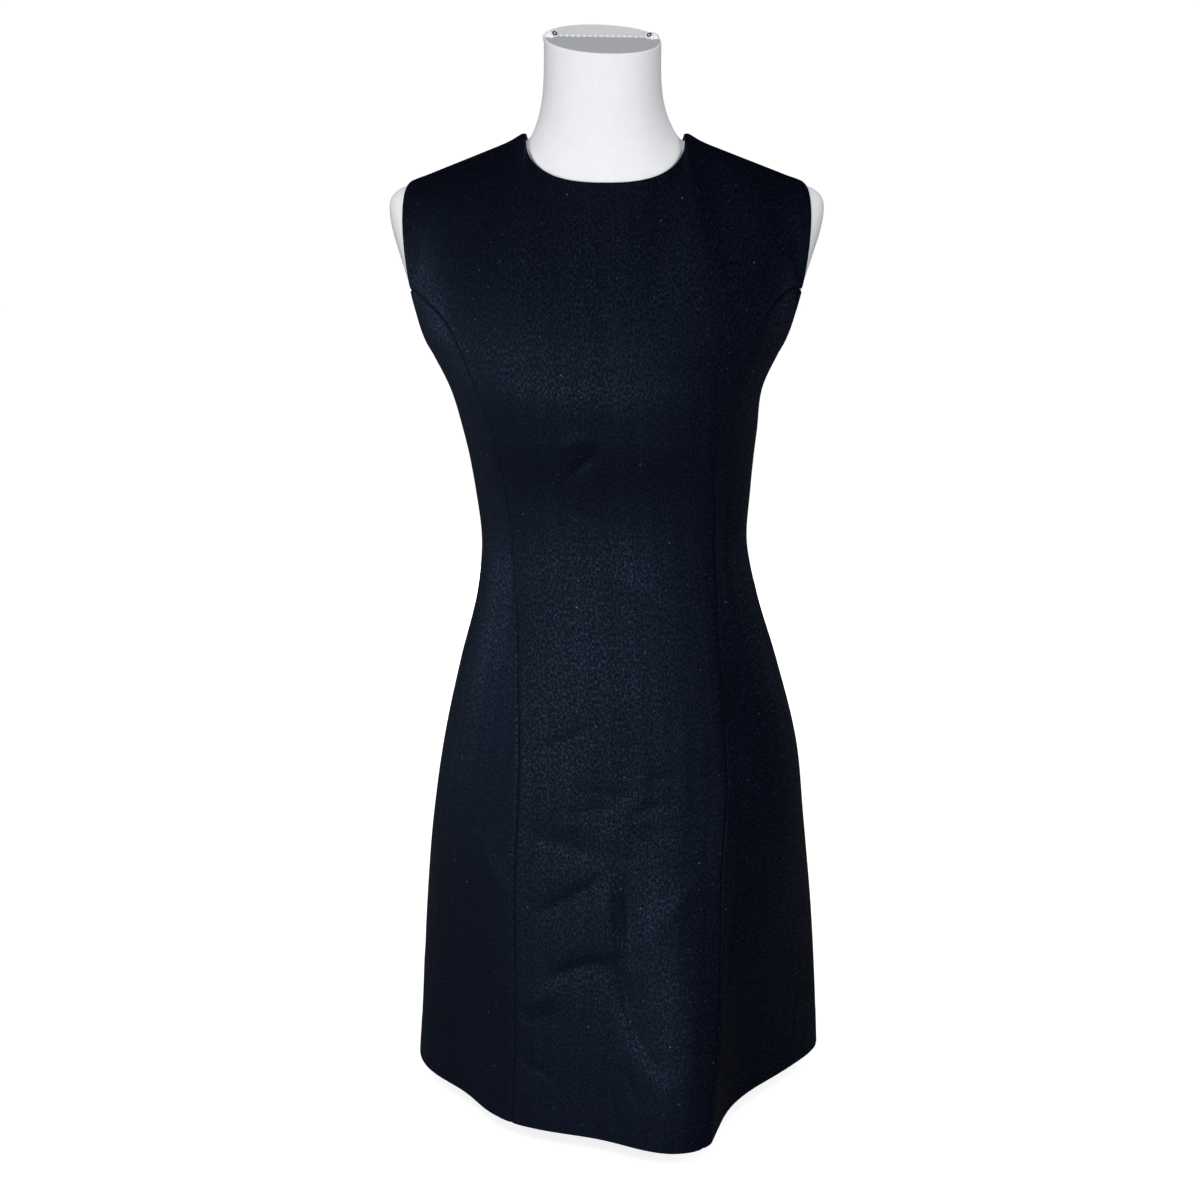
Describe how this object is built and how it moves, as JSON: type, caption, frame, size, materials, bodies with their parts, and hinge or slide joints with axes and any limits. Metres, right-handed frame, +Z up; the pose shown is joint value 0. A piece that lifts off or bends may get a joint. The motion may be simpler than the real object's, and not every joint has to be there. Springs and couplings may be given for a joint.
{
  "type": "sleeveless sheath dress on a limbless dress form",
  "caption": "Knee-length sleeveless sheath dress with a round neck, front princess seams and an A-line skirt, worn by a white limbless dress form on a hidden round base.",
  "frame": {"origin": "centre of the base plate's underside, on the surface that the dress form stands on", "axes": "+Z up the body, -Y out of the front of the dress, +X to the viewer's right, which is the wearer's left side"},
  "size_m": [0.4377, 0.3443, 1.0791],
  "materials": {
    "wool": "navy-black herringbone wool suiting, matt with a faint sheen",
    "zip_metal": "dark plated metal",
    "form_jersey": "white cotton jersey drawn tight over a smooth shell",
    "cap_cloth": "pale grey cloth",
    "stand_paint": "white powder coat"
  },
  "bodies": {
    "dress_on_form": {"front_centre": "wool", "front_side_minus_x": "wool", "front_side_plus_x": "wool", "back_minus_x": "wool", "back_plus_x": "wool", "zip_slider": "zip_metal", "form_torso": "form_jersey", "form_neck_cap": "cap_cloth", "stand_pole": "stand_paint", "base_plate": "stand_paint"},
    "zip_pull_body": {"zip_pull": "zip_metal"}
  },
  "joints": [
    {"name": "zip_pull_hinge", "type": "hinge", "parent": "dress_on_form", "child": "zip_pull_body", "pos_m": [-0.00701, 0.07044, 0.95012], "axis": [1, 0, 0], "range_deg": [0, 165]}
  ]
}
